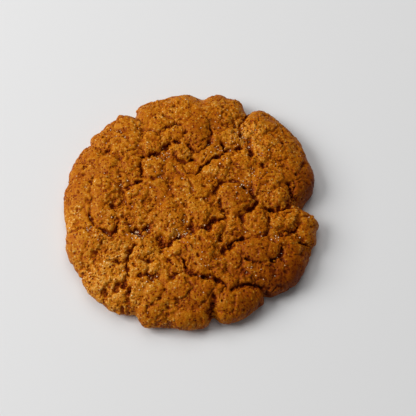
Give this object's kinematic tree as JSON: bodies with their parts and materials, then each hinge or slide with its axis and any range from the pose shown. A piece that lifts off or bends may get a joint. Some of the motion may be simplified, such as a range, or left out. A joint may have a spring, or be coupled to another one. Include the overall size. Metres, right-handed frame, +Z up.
{
  "type": "pumpkin snickerdoodle biscuit",
  "caption": "Round golden-brown drop biscuit, flat beneath and low-domed above, with a cracked, craggy crust and an uneven notched rim.",
  "frame": {"origin": "middle of the bounding box in plan, on the flat underside", "axes": "+Z up out of the domed crust; +X towards the deep notch in the rim; +Y towards the rim's far side, where the crumbly cleft is"},
  "size_m": [0.0848, 0.0852, 0.0122],
  "materials": {
    "crust": "baked biscuit crust, golden brown with darker cinnamon specks, mostly matte with a faint sugary gloss"
  },
  "bodies": {
    "root": {"cookie": "crust"}
  },
  "joints": []
}
